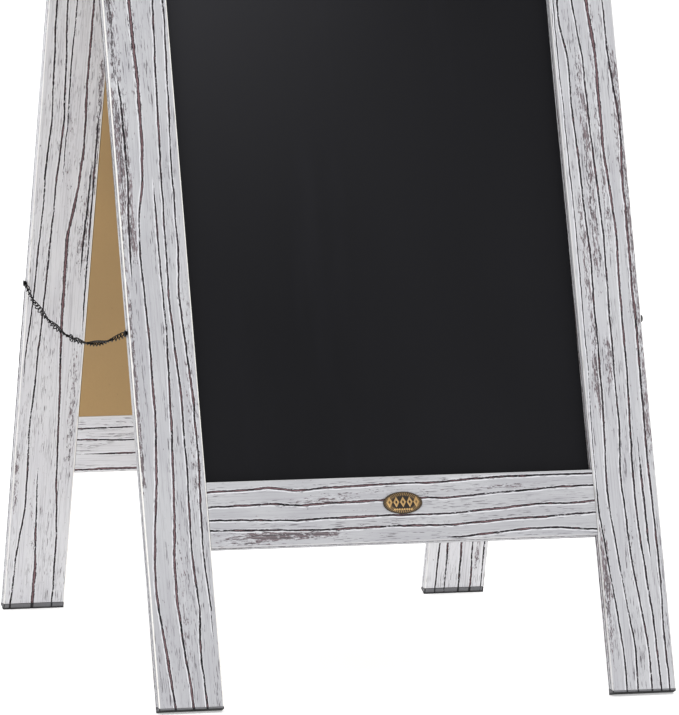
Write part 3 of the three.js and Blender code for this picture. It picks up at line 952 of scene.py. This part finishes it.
def add_hinge(name, where, steel):
    """A leaf on a frame's top edge with its knuckles, and the pin in the front one."""
    centre = own_side(name, where) * HINGE_X
    axis_z = LEAF_BOTTOM + BARREL
    plate_end = HINGE_DEPTH - BARREL - LEAF_GAP
    upright = (LEAF_BOTTOM, LEAF_BOTTOM + LEAF)
    plate = block((centre - HINGE_HALF, centre + HINGE_HALF), (LEAF_START, plate_end), upright)
    made = make_object(f"leaf_{name}_{where}", *plate, steel)
    for low, high in knuckle_spans(name):
        span = (centre + low, centre + high)
        tab = block(span, (plate_end - 1, HINGE_DEPTH), upright)
        for part in (tab, rod_along_x(BARREL, span, HINGE_DEPTH, axis_z)):
            combine("UNION", made, [part])
    for step in SCREW_STEPS:
        cone, faces = turned([(1.6, -2), (1.6, 0), (1.75, 0.1), (2.75, 1.2), (3.2, 1.4)])
        x = centre + step * SCREW_SPACING
        cone = [(a + x, b + SCREW_DEPTH, c + LEAF_BOTTOM - 0.15) for a, b, c in cone]
        combine("DIFFERENCE", made, [(cone, faces)])
    bore = rod_along_x(PIN_BORE, (centre - 30, centre + 30), HINGE_DEPTH, axis_z)
    combine("DIFFERENCE", made, [bore])
    made.data.polygons.foreach_set("use_smooth", [True] * len(made.data.polygons))
    made.data.set_sharp_from_angle(angle=math.radians(30))
    bevel(made, 0.2)
    apply_modifiers(made)
    settle(made, FRAMES[name], f"{name}_frame", f"hinge_leaf_{name}_{where}")
    if name == "front":
        rod = rod_along_x(PIN, (centre - PIN_HALF, centre + PIN_HALF), HINGE_DEPTH, axis_z)
        pin = make_object(f"pin_{where}", *rod, steel)
        settle(pin, FRAMES[name], "front_frame", f"hinge_pin_{where}")


# ---------------------------------------------------------------- badge
BADGE_HALF_X = 19.3
BADGE_HALF_Z = 10.8
BADGE_DOME = 0.9  # of the way from the middle to the edge, where the rim starts
BADGE_BACK = 0.3  # off the wood
LOZENGE_PITCH = 6.6
BEAD_PITCH = 2.4
BEADS_DOWN = 6.4


def smooth_step(low, high, value):
    """0 at low, 1 at high, and eased between them."""
    share = max(0.0, min(1.0, (value - low) / (high - low)))
    return share * share * (3 - 2 * share)


def badge_ornament(x, z):
    """How high the relief stands at a place on the dome: a row of lozenges over a row of beads."""
    from_middle = 2.1 * abs((x / LOZENGE_PITCH + 0.5) % 1 - 0.5) + abs(z - 0.6) / 5.6
    lozenge = smooth_step(0.98, 0.86, from_middle) * smooth_step(0.3, 0.44, from_middle)
    bead_x = ((x / BEAD_PITCH) % 1 - 0.5) * BEAD_PITCH
    bead = smooth_step(1.1, 0.6, math.hypot(bead_x, z + BEADS_DOWN))
    return max(lozenge if abs(x) < 16.0 else 0.0, bead if abs(x) < 9.6 else 0.0)


def badge_surface(r, angle):
    """How far the badge stands out, and how bright it is rubbed, at a share of the way to its edge."""
    if r > BADGE_DOME:
        rim = max(0.0, 1 - ((r - 0.95) / 0.05) ** 2)
        return 1.0 + 0.35 * rim, 0.1 + 0.3 * rim
    dome = 1.0 + 1.15 * math.sqrt(1 - (r / BADGE_DOME) ** 2)
    up = badge_ornament(BADGE_HALF_X * r * math.cos(angle), BADGE_HALF_Z * r * math.sin(angle))
    rib = (0.5 + 0.5 * math.cos(48 * angle)) * smooth_step(0.5, 0.7, r) * (1 - up)
    return dome + 0.28 * up + 0.12 * rib, 0.18 + 0.77 * up + 0.45 * rib


def add_badge(brass):
    """A domed oval with a raised rim, a row of lozenges and a row of beads."""
    around, rings = 192, 46
    angles = circle(around)
    vertices, relief = [], []

    def put(r, angle, high, shine):
        vertices.append((BADGE_HALF_X * r * math.cos(angle), -high, BADGE_HALF_Z * r * math.sin(angle)))
        relief.append(shine)

    for ring in range(rings, 0, -1):
        for angle in angles:
            put(ring / rings, angle, *badge_surface(ring / rings, angle))
    centre = len(vertices)
    put(0.0, 0.0, *badge_surface(0.0, 0.0))
    base = len(vertices)
    for angle in angles:
        put(1.0, angle, BADGE_BACK, 0.3)

    faces = tube_faces(rings, around)
    last = (rings - 1) * around
    faces += [(last + i, last + (i + 1) % around, centre) for i in range(around)]
    faces += [(base + i, base + (i + 1) % around, (i + 1) % around, i) for i in range(around)]
    faces.append(tuple(reversed(range(base, base + around))))
    made = make_object("oval_badge", vertices, faces, brass, {"relief": relief}, flat_over=60)
    place = FRONT @ Matrix.Translation((0, 0, BADGE_UP))
    settle(made, place, "front_frame", "badge_oval")


# ---------------------------------------------------------------- chains
CHAIN_X = 258.4
CHAIN_Y = 226.813
CHAIN_Z = 347.879
CHAIN_SAG = 29.7
LINKS = 45
FIRST_LINK = 3.6  # from a screw to the middle of the first link
END_OUT = 1.35  # off the wood, for the link under a screw's head
OUT_OVER = 5.0  # links that an end takes to swing out to the chain's own plane
LINK = (5.78, 2.6, 1.0)  # half length and half width of the wire's centre line, and how square it is
MIDDLE_LINK = (6.4, 3.2, 0.6)  # room to swing right round its neighbours when the board is folded
WIRE = 0.55
LINK_BULGE = 0.6
END_BULGES = {0: 0.3, 1: 1.3, 2: 1.1}  # of the first links from each screw
# Half turns of the twisted chain at places along it. Either side of the middle link it lies level.
TWISTS = ((-235, 0), (-199, 0), (-111, 1), (-29, 2), (-10.3, 2.5), (10.3, 2.5), (54, 3), (123, 4),
          (203, 5), (235, 5))
RUNS = (("front_upper", 0, 11), ("front_lower", 11, 22), ("middle_link", 22, 23), ("back_lower", 23, 34),
        ("back_upper", 34, 45))


def chain_path():
    """A chain's hanging curve, and how far along it each of its points is."""
    y = np.linspace(-CHAIN_Y, CHAIN_Y, 2001)
    z = CHAIN_Z - CHAIN_SAG * (1 - (y / CHAIN_Y) ** 2)
    along = np.concatenate([[0], np.cumsum(np.hypot(np.diff(y), np.diff(z)))])
    return y, z, along


def link_shape(half, side, square, bulge):
    """The centre line of one link. It rises and falls by the bulge, to clear its neighbours."""
    points = []
    for angle in circle(28):
        c, s = math.cos(angle), math.sin(angle)
        a = half * math.copysign(abs(c) ** square, c)
        b = side * math.copysign(abs(s) ** square, s)
        points.append(Vector((a, b, -bulge * math.sin(2 * angle))))
    return points


def wire_loop(points, radius, sides=8):
    """Vertices and faces of a round wire along a closed line."""
    vertices = []
    count = len(points)
    for i, point in enumerate(points):
        ahead = (points[(i + 1) % count] - points[i - 1]).normalized()
        across = ahead.cross(Vector((0, 0, 1))).normalized()
        up = across.cross(ahead)
        for angle in circle(sides):
            vertices.append(point + radius * (math.cos(angle) * across + math.sin(angle) * up))
    return vertices, tube_faces(count, sides, closed_rows=True)


def chain_links(side):
    """The vertices and faces of every link of a side's chain, from front to back."""
    y, z, along = chain_path()
    pitch = (along[-1] - 2 * FIRST_LINK) / (LINKS - 1)
    places, half_turns = zip(*TWISTS)
    end_x = BOARD_WIDTH / 2 + END_OUT
    links = []
    for k in range(LINKS):
        here = FIRST_LINK + k * pitch
        py, pz = np.interp(here, along, y), np.interp(here, along, z)
        ahead = Vector((0, 1, 2 * CHAIN_SAG * py / CHAIN_Y ** 2)).normalized()
        from_end = min(k, LINKS - 1 - k)
        x = side * (end_x + (CHAIN_X - end_x) * min(1.0, from_end / OUT_OVER))
        outward = Vector((side, 0, 0))
        upward = outward.cross(ahead) * side
        twist = -math.pi * float(np.interp(py, places, half_turns))
        shape = (*LINK, END_BULGES.get(from_end, LINK_BULGE))
        if k == LINKS // 2:
            twist += math.pi / 2
            shape = (*MIDDLE_LINK, 0.0)
        flat = Vector(math.cos(twist) * upward + math.sin(twist) * outward)
        normal = -side * ahead.cross(flat)
        middle = Vector((x, py, pz))
        points = [middle + p.x * ahead + p.y * flat + p.z * normal for p in link_shape(*shape)]
        links.append(wire_loop(points, WIRE))
    return links


def add_chain(where, steel):
    """One side's chain, as the five runs that swing separately."""
    links = chain_links(-1 if where == "left" else 1)
    for run, low, high in RUNS:
        node = f"chain_{where}_{run}"
        made = make_object(f"links_{where}_{run}", *join_parts(links[low:high]), steel)
        settle(made, Matrix.Identity(4), node, node)


# ---------------------------------------------------------------- the whole board
def dress(node, material):
    """Gives its look to a piece that stays as the CAD made it."""
    materials = frame["nodes"][node].data.materials
    materials.clear()
    materials.append(material)


def main():
    add_camera()
    add_studio()
    wood = wood_material("whitewashed_wood")
    foot_wood = wood_material("foot_pad", foot=True)
    steel = black_steel_material()
    seed = 1.0
    for name in FRAMES:
        for where in ("left", "right"):
            add_leg(name, where, wood, foot_wood, seed)
            seed += 1
            add_chain_screw(name, where, steel)
            for step in SCREW_STEPS:
                add_hinge_screw(name, where, step, steel)
            add_hinge(name, where, steel)
        for which in ("lower", "upper"):
            add_rail(name, which, wood, seed)
            seed += 1
        back = name == "back"
        dress(f"writing_sheet_{name}", sheet_material(f"chalkboard_{name}", back))
        dress(f"backing_board_{name}", hardboard_material(f"hardboard_{name}", back))
    tenon = plain_wood_material()
    for node in frame["nodes"]:
        if node.startswith("tenon_"):
            dress(node, tenon)
    add_badge(brass_material())
    for where in ("left", "right"):
        add_chain(where, steel)


main()
